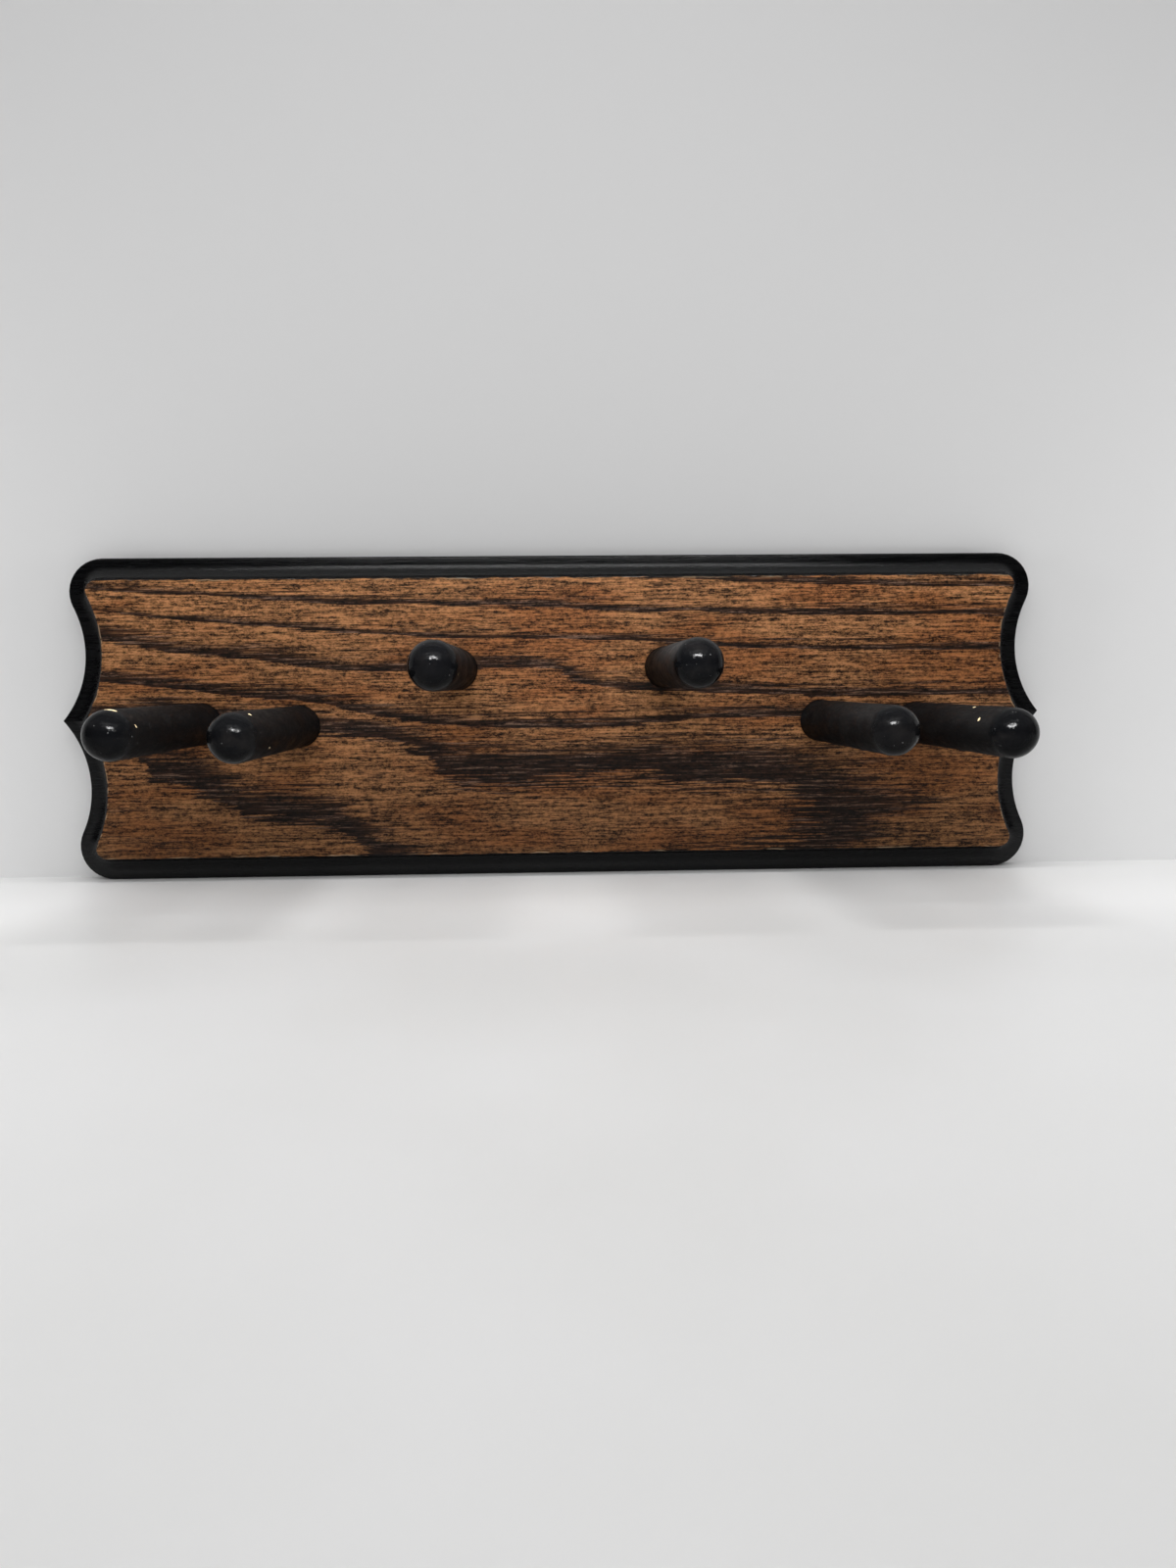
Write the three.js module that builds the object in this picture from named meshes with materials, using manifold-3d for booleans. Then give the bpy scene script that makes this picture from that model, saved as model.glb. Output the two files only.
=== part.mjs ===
// A wall-hung mug rack: a scalloped plank with a coved edge, six dowel pegs, and two keyhole hangers
// let into its back. Millimetres. The origin is the middle of the back face, which lies on the wall.
// +X is to the right for someone facing the rack, +Y points into the wall, and +Z is up.

import * as THREE from 'three';
import { mergeVertices } from 'three/addons/utils/BufferGeometryUtils.js';
import Module from 'manifold-3d';

const wasm = await Module();
wasm.setup();

// Plank
const LENGTH = 457.2; // from cusp to cusp
const HEIGHT = 148.6;
const THICKNESS = 19.05;
const LOBE_RADIUS = 15.6; // the four rounded corners
const SCALLOP_RADIUS = 48.7; // the four hollow arcs of the two ends
const SCALLOP_HEIGHT = 31.35; // each arc's centre above or below the mid line

// Edge moulding, worked into the front all the way round
const COVE_RADIUS = 7.2;
const LEDGE_WIDTH = 3.4; // flat outside the cove
const FACE_STEP = 1.8; // upright wall between the cove and the face
const LIP_CHAMFER = 0.8;
const FACE_CHAMFER = 0.3;

// Pegs
const PEG_DIAMETER = 19.05;
const PEG_REACH = 127; // from the face to the tip
const PEG_SOCKET_DEPTH = 12.7;
const PEG_END_CHAMFER = 1.2;
const PEG_LAYOUT_SHIFT = 2; // the peg pattern's middle, right of the plank's
const LOWER_ROW = -3.3; // heights of the two rows above the mid line
const UPPER_ROW = 22.1;
const OUTER_PEG = 165.1; // distances from the pattern's middle
const INNER_PEG = 120.65;
const UPPER_PEG = 48.2;
const OUTER_PEG_TILT = 1.4; // the left outer peg stands this far above its row, the right one below it

// Keyhole hangers
const HANGER_OFFSET = 152.4; // from the plank's middle
const HANGER_HEIGHT = 42; // plate's middle above the mid line
const PLATE_LENGTH = 46;
const PLATE_WIDTH = 16;
const PLATE_THICKNESS = 2;
const PLATE_RECESS = 0.4; // plate's outside below the back face
const KEYHOLE_ENTRY_RADIUS = 4.8;
const KEYHOLE_ENTRY_HEIGHT = -4; // from the plate's middle
const KEYHOLE_SLOT_RADIUS = 2.5;
const KEYHOLE_SLOT_TOP = 6; // centre of the slot's round end
const HEAD_ROOM_RADIUS = 6; // hollow behind the plate for the wall screw's head
const HEAD_ROOM_DEPTH = 8.5; // from the back face

// Wood screws that hold the plates
const SCREW_SPACING = 34;
const SCREW_HEAD_RADIUS = 3.3;
const SCREW_HEAD_HEIGHT = 1.9;
const SCREW_SHANK_RADIUS = 1.75;
const SCREW_POINT_LENGTH = 3;
const SCREW_LENGTH = 12;
const SCREW_SUNK = 0.1; // head below the plate's outside
const DRIVE_LENGTH = 3.6; // cross recess in the head
const DRIVE_WIDTH = 0.8;
const DRIVE_DEPTH = 1.1;

// Clearance between touching pieces, and how far a cutter runs past the face that it opens
const GAP = 0.3;
const PAST = 1;

// Facets
const SCALLOP_CHORDS = 14;
const LOBE_CHORDS = 12;
const COVE_CHORDS = 6;
const ROUND_FACETS = 32;
const SMALL_FACETS = 16;
const DOME_CHORDS = 7;

const stainedWood = new THREE.MeshStandardMaterial({ color: 0x6b3f26, roughness: 0.62, metalness: 0 });
const blackPaint = new THREE.MeshStandardMaterial({ color: 0x0d0e11, roughness: 0.28, metalness: 0 });
const zincSteel = new THREE.MeshStandardMaterial({ color: 0xa9a9a4, roughness: 0.38, metalness: 1 });

/** A closed three.js geometry as a solid that can be joined and cut. */
function toSolid(geometry) {
  const bare = geometry.clone();
  bare.deleteAttribute('normal');
  bare.deleteAttribute('uv');
  const merged = mergeVertices(bare, 1e-4);
  return new wasm.Manifold(new wasm.Mesh({
    numProp: 3,
    vertProperties: merged.attributes.position.array,
    triVerts: new Uint32Array(merged.index.array),
  }));
}

/** A solid as a three.js geometry. */
function toGeometry(solid) {
  const { vertProperties, triVerts } = solid.getMesh();
  const geometry = new THREE.BufferGeometry();
  geometry.setAttribute('position', new THREE.BufferAttribute(vertProperties, 3));
  geometry.setIndex(new THREE.BufferAttribute(triVerts, 1));
  geometry.computeVertexNormals();
  return geometry;
}

/** A flat shape drawn in X and Z, as a slab that runs from the depth y = back to y = front. */
function slab(shape, back, front) {
  const geometry = new THREE.ExtrudeGeometry(shape, {
    depth: back - front,
    bevelEnabled: false,
    curveSegments: SMALL_FACETS / 2,
  });
  return geometry.rotateX(Math.PI / 2).translate(0, back, 0);
}

/** An upright slot shape with round ends, of the given radius, whose end centres are at low and high. */
function slotShape(radius, low, high) {
  const shape = new THREE.Shape();
  shape.absarc(0, high, radius, 0, Math.PI, false);
  shape.absarc(0, low, radius, Math.PI, 2 * Math.PI, false);
  shape.closePath();
  return shape;
}

/** A round bar along Y through [radius, y] points, listed from the lowest y to the highest. */
function turned(points, facets) {
  return new THREE.LatheGeometry(points.map(([radius, y]) => new THREE.Vector2(radius, y)), facets);
}

/**
 * The plank's outline, moved in by the given inset, as points in X and Z. It runs anticlockwise for
 * someone facing the rack, from the right-hand cusp. The lobes and scallops keep their centres, so a
 * lobe's radius shrinks and a scallop's grows with the inset. One quarter is drawn, mirrored to make
 * the upper half, and that is turned to make the lower half.
 */
function outline(inset) {
  const lobeZ = HEIGHT / 2 - LOBE_RADIUS;
  const scallopX = LENGTH / 2 + Math.sqrt(SCALLOP_RADIUS ** 2 - SCALLOP_HEIGHT ** 2);
  const rise = lobeZ - SCALLOP_HEIGHT;
  const run = Math.sqrt((SCALLOP_RADIUS + LOBE_RADIUS) ** 2 - rise ** 2);
  const lean = Math.atan2(rise, run); // slope of the line that joins a lobe's centre to its scallop's
  const scallop = SCALLOP_RADIUS + inset;
  const cusp = Math.PI + Math.asin(SCALLOP_HEIGHT / scallop);
  const hollow = new THREE.ArcCurve(scallopX, SCALLOP_HEIGHT, scallop, cusp, Math.PI - lean, true);
  const corner = new THREE.ArcCurve(scallopX - run, lobeZ, LOBE_RADIUS - inset, -lean, Math.PI / 2, false);
  const quarter = [...hollow.getPoints(SCALLOP_CHORDS).slice(0, -1), ...corner.getPoints(LOBE_CHORDS)];
  const mirrored = quarter.map((point) => new THREE.Vector2(-point.x, point.y)).reverse();
  const half = [...quarter, ...mirrored.slice(0, -1)];
  return [...half, ...half.map((point) => point.clone().negate())];
}

/** The edge's section as [inset, y] pairs, from the back face round to the front face. */
function edgeSection() {
  const lip = THICKNESS - FACE_STEP - COVE_RADIUS;
  const section = [[0, 0], [0, LIP_CHAMFER - lip], [LIP_CHAMFER, -lip]];
  for (let i = 0; i <= COVE_CHORDS; i++) {
    const turn = (i / COVE_CHORDS) * (Math.PI / 2);
    section.push([
      LEDGE_WIDTH + COVE_RADIUS * Math.sin(turn),
      -lip - COVE_RADIUS * (1 - Math.cos(turn)),
    ]);
  }
  const wall = LEDGE_WIDTH + COVE_RADIUS;
  section.push([wall, FACE_CHAMFER - THICKNESS], [wall + FACE_CHAMFER, -THICKNESS]);
  return section;
}

/** The plank before it is bored: one ring of points for each point of the edge's section, and two caps. */
function plankBlank() {
  const section = edgeSection();
  const rings = section.map(([inset, y]) => outline(inset).map((point) => [point.x, y, point.y]));
  const count = rings[0].length;
  const index = [];
  for (let ring = 0; ring + 1 < rings.length; ring++) {
    for (let i = 0; i < count; i++) {
      const next = (i + 1) % count;
      const [a, b] = [ring * count + i, ring * count + next];
      index.push(a, b, b + count, a, b + count, a + count);
    }
  }
  const last = (rings.length - 1) * count;
  for (const [a, b, c] of THREE.ShapeUtils.triangulateShape(outline(0), [])) {
    index.push(a, c, b);
  }
  for (const [a, b, c] of THREE.ShapeUtils.triangulateShape(outline(section.at(-1)[0]), [])) {
    index.push(last + a, last + b, last + c);
  }
  const geometry = new THREE.BufferGeometry();
  geometry.setAttribute('position', new THREE.Float32BufferAttribute(rings.flat(2), 3));
  geometry.setIndex(index);
  return geometry;
}

/** Where each peg stands, by its name: X and Z of its axis. */
function pegPlaces() {
  const places = {};
  for (const [side, sign] of [['left', -1], ['right', 1]]) {
    places[`peg_${side}_outer`] = [PEG_LAYOUT_SHIFT + sign * OUTER_PEG, LOWER_ROW - sign * OUTER_PEG_TILT];
    places[`peg_${side}_inner`] = [PEG_LAYOUT_SHIFT + sign * INNER_PEG, LOWER_ROW];
    places[`peg_${side}_upper`] = [PEG_LAYOUT_SHIFT + sign * UPPER_PEG, UPPER_ROW];
  }
  return places;
}

/** The socket that a peg is glued into, drawn on the peg's axis. */
function pegSocket() {
  const radius = PEG_DIAMETER / 2 + GAP;
  const depth = PEG_SOCKET_DEPTH + PAST;
  const socket = new THREE.CylinderGeometry(radius, radius, depth, ROUND_FACETS);
  return toSolid(socket.translate(0, PEG_SOCKET_DEPTH - THICKNESS - depth / 2, 0));
}

/** What is cut out of the back for one hanger, drawn round the middle of its plate. */
function hangerPocket() {
  const seatRadius = PLATE_WIDTH / 2 + GAP;
  const seatEnd = (PLATE_LENGTH - PLATE_WIDTH) / 2;
  const floor = -(PLATE_RECESS + PLATE_THICKNESS + GAP);
  const seat = toSolid(slab(slotShape(seatRadius, -seatEnd, seatEnd), PAST, floor));
  const headRoom = slotShape(HEAD_ROOM_RADIUS, KEYHOLE_ENTRY_HEIGHT, KEYHOLE_SLOT_TOP);
  let pocket = seat.add(toSolid(slab(headRoom, PAST, -HEAD_ROOM_DEPTH)));
  const bottom = -(PLATE_RECESS + SCREW_SUNK + SCREW_LENGTH + GAP);
  for (const z of [-SCREW_SPACING / 2, SCREW_SPACING / 2]) {
    const radius = SCREW_SHANK_RADIUS + GAP;
    const pilot = new THREE.CylinderGeometry(radius, radius, PAST - bottom, SMALL_FACETS);
    pocket = pocket.add(toSolid(pilot.translate(0, (PAST + bottom) / 2, z)));
  }
  return pocket;
}

/** The plank with its six sockets and the two hanger pockets. */
function plank() {
  let solid = toSolid(plankBlank());
  const socket = pegSocket();
  for (const [x, z] of Object.values(pegPlaces())) {
    solid = solid.subtract(socket.translate([x, 0, z]));
  }
  const pocket = hangerPocket();
  for (const x of [-HANGER_OFFSET, HANGER_OFFSET]) {
    solid = solid.subtract(pocket.translate([x, 0, HANGER_HEIGHT]));
  }
  return toGeometry(solid);
}

/** A dowel with a round tip in front and a chamfered end in its socket, drawn on its own axis. */
function peg() {
  const radius = PEG_DIAMETER / 2;
  const tip = -(THICKNESS + PEG_REACH);
  const end = PEG_SOCKET_DEPTH - THICKNESS - GAP;
  const points = [];
  for (let i = 0; i <= DOME_CHORDS; i++) {
    const turn = (i / DOME_CHORDS) * (Math.PI / 2);
    points.push([radius * Math.sin(turn), tip + radius * (1 - Math.cos(turn))]);
  }
  points.push([radius, end - PEG_END_CHAMFER], [radius - PEG_END_CHAMFER, end], [0, end]);
  return turned(points, ROUND_FACETS);
}

/** A hanger plate with its keyhole and two countersunk holes, drawn round its own middle. */
function hangerPlate() {
  const end = (PLATE_LENGTH - PLATE_WIDTH) / 2;
  const outside = -PLATE_RECESS;
  const inside = outside - PLATE_THICKNESS;
  const blank = toSolid(slab(slotShape(PLATE_WIDTH / 2, -end, end), outside, inside));
  const [back, front] = [outside + PAST, inside - PAST];
  const entry = new THREE.CylinderGeometry(
    KEYHOLE_ENTRY_RADIUS, KEYHOLE_ENTRY_RADIUS, back - front, ROUND_FACETS,
  ).translate(0, (back + front) / 2, KEYHOLE_ENTRY_HEIGHT);
  const slot = slab(slotShape(KEYHOLE_SLOT_RADIUS, KEYHOLE_ENTRY_HEIGHT, KEYHOLE_SLOT_TOP), back, front);
  let solid = blank.subtract(toSolid(entry)).subtract(toSolid(slot));
  const taper = (SCREW_HEAD_RADIUS - SCREW_SHANK_RADIUS) / SCREW_HEAD_HEIGHT;
  const narrow = SCREW_SHANK_RADIUS + GAP;
  const wide = SCREW_HEAD_RADIUS + GAP;
  const coneEnd = outside - SCREW_HEAD_HEIGHT;
  const countersink = toSolid(turned([
    [0, front], [narrow, front], [narrow, coneEnd], [wide, outside], [wide + taper * PAST, back], [0, back],
  ], SMALL_FACETS));
  for (const z of [-SCREW_SPACING / 2, SCREW_SPACING / 2]) {
    solid = solid.subtract(countersink.translate([0, 0, z]));
  }
  return toGeometry(solid);
}

/** A countersunk wood screw with a cross recess, drawn on its own axis. */
function hangerScrew() {
  const head = -(PLATE_RECESS + SCREW_SUNK);
  const point = head - SCREW_LENGTH;
  const body = toSolid(turned([
    [0, point], [SCREW_SHANK_RADIUS, point + SCREW_POINT_LENGTH],
    [SCREW_SHANK_RADIUS, head - SCREW_HEAD_HEIGHT], [SCREW_HEAD_RADIUS, head], [0, head],
  ], SMALL_FACETS));
  const height = DRIVE_DEPTH + PAST;
  const middle = head + PAST - height / 2;
  const across = new THREE.BoxGeometry(DRIVE_LENGTH, height, DRIVE_WIDTH).translate(0, middle, 0);
  const upright = new THREE.BoxGeometry(DRIVE_WIDTH, height, DRIVE_LENGTH).translate(0, middle, 0);
  return toGeometry(body.subtract(toSolid(across).add(toSolid(upright))));
}

/** A named mesh. */
function piece(name, geometry, material) {
  const mesh = new THREE.Mesh(geometry, material);
  mesh.name = name;
  return mesh;
}

/** One hanger with its two screws, drawn round the middle of its plate. */
function hanger(side, plateGeometry, screwGeometry) {
  const group = new THREE.Group();
  group.add(piece(`hanger_plate_${side}`, plateGeometry, zincSteel));
  for (const [level, z] of [['lower', -SCREW_SPACING / 2], ['upper', SCREW_SPACING / 2]]) {
    const screw = piece(`hanger_screw_${side}_${level}`, screwGeometry, zincSteel);
    screw.position.z = z;
    group.add(screw);
  }
  return group;
}

/** The whole rack. */
function mugRack() {
  const rack = new THREE.Group();
  rack.add(piece('plank', plank(), stainedWood));
  const pegGeometry = peg();
  for (const [name, [x, z]] of Object.entries(pegPlaces())) {
    const mesh = piece(name, pegGeometry, blackPaint);
    mesh.position.set(x, 0, z);
    rack.add(mesh);
  }
  const [plateGeometry, screwGeometry] = [hangerPlate(), hangerScrew()];
  for (const [side, x] of [['left', -HANGER_OFFSET], ['right', HANGER_OFFSET]]) {
    const group = hanger(side, plateGeometry, screwGeometry);
    group.position.set(x, 0, HANGER_HEIGHT);
    rack.add(group);
  }
  return rack;
}

export default mugRack();
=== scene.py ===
"""A wall-hung mug rack: a stained plank with a black coved edge, six black dowel pegs and two hangers.

Metres. The origin is the middle of the back face, +X is to the right for someone facing the rack, +Y points
into the wall and +Z is up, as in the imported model. Every new piece is a surface worked out with numpy.
"""

import logging
import math
from dataclasses import dataclass, field
from enum import Enum

import bpy
import numpy as np
from mathutils import Euler, Matrix, Vector


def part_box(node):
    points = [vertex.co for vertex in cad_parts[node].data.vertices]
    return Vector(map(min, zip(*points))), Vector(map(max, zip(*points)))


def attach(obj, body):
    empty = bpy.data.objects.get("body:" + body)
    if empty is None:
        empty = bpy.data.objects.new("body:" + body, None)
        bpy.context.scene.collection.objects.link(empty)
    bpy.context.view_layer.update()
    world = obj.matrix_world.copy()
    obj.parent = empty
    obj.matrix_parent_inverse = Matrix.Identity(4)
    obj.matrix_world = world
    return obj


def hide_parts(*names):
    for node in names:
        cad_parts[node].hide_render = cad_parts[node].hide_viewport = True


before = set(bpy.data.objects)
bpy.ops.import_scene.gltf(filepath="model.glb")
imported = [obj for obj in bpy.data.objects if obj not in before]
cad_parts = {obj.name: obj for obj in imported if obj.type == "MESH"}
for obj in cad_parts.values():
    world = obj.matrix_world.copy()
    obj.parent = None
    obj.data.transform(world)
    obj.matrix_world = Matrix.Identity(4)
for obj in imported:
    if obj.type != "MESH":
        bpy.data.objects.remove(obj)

LOG = logging.getLogger("mug_rack")
BODY = "root"
MM = 0.001
Colour = tuple[float, float, float]
Place = tuple[float, float, float]
Span = tuple[float, float]
Line = tuple[Span, ...]
Socket = bpy.types.NodeSocket
Input = Socket | float | Colour


class Slot(Enum):
    """The record's material slots."""

    WOOD = "stained_wood"
    PAINT = "black_paint"
    STEEL = "zinc_steel"


class Side(Enum):
    """The two ends of the rack, with the sign of X there."""

    LEFT = -1
    RIGHT = 1


# ---------------------------------------------------------------- numbers and meshes


def drift(u: np.ndarray, v: np.ndarray, seed: int) -> np.ndarray:
    """Smooth random hills: random heights on a square lattice, eased from one lattice point to the next.

    Args:
        u: First coordinate, one lattice cell for each whole number.
        v: Second coordinate, of the same shape or one that fits it.
        seed: Which set of heights to use.

    Returns:
        Heights from -1 to 1, in the shape of u and v together.
    """
    cells = 64
    lattice = np.random.default_rng(seed).uniform(-1, 1, (cells, cells))
    u, v = np.broadcast_arrays(u, v)
    column, row = np.floor(u).astype(int), np.floor(v).astype(int)
    along, across = u - column, v - row
    along, across = along**2 * (3 - 2 * along), across**2 * (3 - 2 * across)
    low = lattice[row % cells, column % cells] * (1 - along)
    low = low + lattice[row % cells, (column + 1) % cells] * along
    high = lattice[(row + 1) % cells, column % cells] * (1 - along)
    high = high + lattice[(row + 1) % cells, (column + 1) % cells] * along
    return low * (1 - across) + high * across


def arc(centre: tuple[float, float], radius: float, start: float, end: float, steps: int) -> np.ndarray:
    """Points on a circle: centre plus radius times (cos a, sin a), with a going evenly from start to end.

    Args:
        centre: Middle of the circle, two coordinates.
        radius: Its radius.
        start: First angle, in radians.
        end: Last angle.
        steps: How many chords the arc has.

    Returns:
        The steps + 1 points, one in each row.
    """
    angle = np.linspace(start, end, steps + 1)
    return np.stack([centre[0] + radius * np.cos(angle), centre[1] + radius * np.sin(angle)], axis=1)


class Shell:
    """A mesh under construction: blocks of points, and the faces that join them."""

    def __init__(self) -> None:
        """Starts with no points and no faces."""
        self.points: list[np.ndarray] = []
        self.faces: list[list[int]] = []
        self.count = 0

    def add(self, points: np.ndarray) -> np.ndarray:
        """Adds points and numbers them.

        Args:
            points: An array whose last axis is X, Y and Z.

        Returns:
            The points' numbers, in the shape of the array without its last axis.
        """
        shape = points.shape[:-1]
        flat = points.reshape(-1, 3)
        self.points.append(flat)
        numbers = np.arange(self.count, self.count + len(flat)).reshape(shape)
        self.count += len(flat)
        return numbers

    def skin(self, grid: np.ndarray, keep: np.ndarray | None = None, flip: bool = False) -> None:
        """Joins a grid of point numbers with four-sided faces.

        Args:
            grid: Point numbers in rows and columns.
            keep: For each face, whether it is made; all are if this is left out.
            flip: Turns the faces the other way.
        """
        corners = np.stack([grid[:-1, :-1], grid[:-1, 1:], grid[1:, 1:], grid[1:, :-1]], axis=-1)
        corners = corners.reshape(-1, 4) if keep is None else corners[keep]
        self.faces += (corners[:, ::-1] if flip else corners).tolist()

    def bands(self, rings: np.ndarray, flip: bool = False) -> None:
        """Joins closed rings of point numbers, one to the next.

        Args:
            rings: One ring in each row.
            flip: Turns the faces the other way.
        """
        self.skin(np.concatenate([rings, rings[:, :1]], axis=1), flip=flip)

    def cap(self, ring: np.ndarray, centre: np.ndarray, flip: bool = False) -> None:
        """Closes a ring with triangles that meet at one new point.

        Args:
            ring: The ring's point numbers.
            centre: Where the triangles meet.
            flip: Turns the faces the other way.
        """
        middle = np.full(len(ring), self.add(np.asarray(centre, float)[None])[0])
        corners = np.stack([ring, np.roll(ring, -1), middle], axis=1)
        self.faces += (corners[:, ::-1] if flip else corners).tolist()

    def finished(self, name: str, sharp: float = 35.0) -> bpy.types.Object:
        """Makes the Blender object.

        Args:
            name: The piece's name.
            sharp: Edges that turn by more than this many degrees are drawn sharp.

        Returns:
            The object, at the origin.
        """
        mesh = bpy.data.meshes.new(name)
        mesh.from_pydata(np.concatenate(self.points).tolist(), [], self.faces)
        mesh.validate()
        mesh.polygons.foreach_set("use_smooth", np.ones(len(mesh.polygons), bool))
        mesh.set_sharp_from_angle(angle=math.radians(sharp))
        piece = bpy.data.objects.new(name, mesh)
        bpy.context.scene.collection.objects.link(piece)
        return piece


def places(mesh: bpy.types.Mesh) -> np.ndarray:
    """The mesh's points as rows of X, Y and Z."""
    flat = np.empty(len(mesh.vertices) * 3, np.float32)
    mesh.vertices.foreach_get("co", flat)
    return flat.reshape(-1, 3).astype(float)


def write_values(mesh: bpy.types.Mesh, name: str, values: np.ndarray) -> None:
    """Stores one number for each point of a mesh, for its material to read.

    Args:
        mesh: The mesh.
        name: What the material calls the numbers.
        values: The numbers, one for each point.
    """
    mesh.attributes.new(name, "FLOAT", "POINT").data.foreach_set("value", values.astype(np.float32))


# ---------------------------------------------------------------- the wood's growth rings


@dataclass(frozen=True)
class GrowthLine:
    """The sharp line where one year's wood ends and the next year's dark, open wood begins.

    The points are X and Z in millimetres on the plank's face, from left to right. dark is the width in
    millimetres of the dark wood above the line, at the left end and at the right end. hold is a power: above
    one, the wood stays dark for longer before it fades.
    """

    points: Line
    dark: Span
    hold: float = 1.25


@dataclass(frozen=True)
class Grain:
    """The growth rings of one flat-sawn board, from the lowest line to the highest.

    tongue is the lower side of the pale tongue that the second line goes round, as GrowthLine's points.
    rounding softens the lines' corners, and tooth is how far the saw teeth reach, both in millimetres.
    """

    lines: tuple[GrowthLine, ...] = (
        GrowthLine(((-230, -6), (-200, -11), (-191, -17), (-190, -28), (-170, -31), (-156, -38), (-146, -45),
                    (-103, -51), (-94, -59), (-80, -70), (230, -200)), (17, 24), hold=1.8),
        GrowthLine(((-230, 4), (-150, -3), (-103, -8), (-79, -11), (-64, -16), (-55, -22), (-52, -31),
                    (-29, -35), (7, -31), (46, -30), (56, -35), (86, -36), (102, -40), (113, -48),
                    (230, -190)), (5, 90), hold=2.4),
        GrowthLine(((-230, 20), (-178, 14), (-149, 10), (-119, 8), (-83, 1), (-60, -3), (-20, -5.5),
                    (32, -5), (72, -2), (230, 0)), (9, 6)),
        GrowthLine(((-230, 41), (-205, 37), (-170, 30), (-134, 27), (-100, 21.5), (-40, 21.5), (-17, 23.5),
                    (1, 21.5), (18, 13), (60, 10.5), (117, 7.5), (230, 8)), (9, 7)),
        GrowthLine(((-230, 52), (-180, 46), (-120, 41), (-60, 37), (20, 35), (100, 30.5), (230, 28.5)),
                   (3, 4)),
        GrowthLine(((-230, 61), (-170, 56.5), (-110, 52.5), (-30, 51), (30, 48), (100, 46.5), (230, 44.5)),
                   (4, 5)),
        GrowthLine(((-230, 74), (0, 65), (110, 60), (230, 57)), (3, 5)),
        GrowthLine(((-230, 95), (230, 74)), (4, 4)),
    )
    tongue: Line = (
        (-230, -230), (30, -68), (55, -62.5), (88, -60), (104, -57), (113, -48), (230, 120))
    rounding: float = 2.0
    tooth: float = 4.2

    def height(self, points: Line, x: np.ndarray) -> np.ndarray:
        """The height of a line at x: straight runs between its points, averaged over a short stretch.

        Args:
            points: The line's points.
            x: Where to read it, in millimetres.

        Returns:
            The heights in millimetres.
        """
        line = np.array(points, float)
        offsets = self.rounding * np.linspace(-1, 1, 5)
        return np.mean([np.interp(x + offset, line[:, 0], line[:, 1]) for offset in offsets], axis=0)

    def field(self, x: np.ndarray, z: np.ndarray) -> np.ndarray:
        """The growth number: it rises by one from each line to the next, by one half over the dark wood.

        The place is first shifted along the board by hills that are long in X and narrow in Z, which draws
        out the saw teeth of a line that crosses the fibres. The height above a line is then divided by the
        dark wood's width, or past it by what is left up to the next line.

        Args:
            x: Places along the board, in millimetres.
            z: Heights on the board, in millimetres.

        Returns:
            The growth number at each place.
        """
        shift = drift(x / 34, z / 2.6, 11) + 0.7 * drift(x / 60, z / 7, 12)
        x = x + self.tooth * shift
        z = z + 0.35 * drift(x / 22, z / 9, 13)
        above = [z - self.height(line.points, x) for line in self.lines]
        above[1] = np.maximum(above[1], self.height(self.tongue, x) - z)
        number = np.clip(1 + above[0] / 60, 0.5, 1)
        for k, line in enumerate(self.lines[:-1]):
            span = np.maximum(above[k] - above[k + 1], 0.5)
            dark = np.minimum(np.interp(x, (-220, 220), line.dark), 0.85 * span)
            early = np.clip(above[k] / dark, 0, None) ** line.hold
            late = 1 + (above[k] - dark) / (span - dark)
            ring = k + 1 + 0.5 * np.clip(np.where(early < 1, early, late), 0, 2)
            number = np.where(above[k] > 0, ring, number)
        return number


# ---------------------------------------------------------------- finishes


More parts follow.
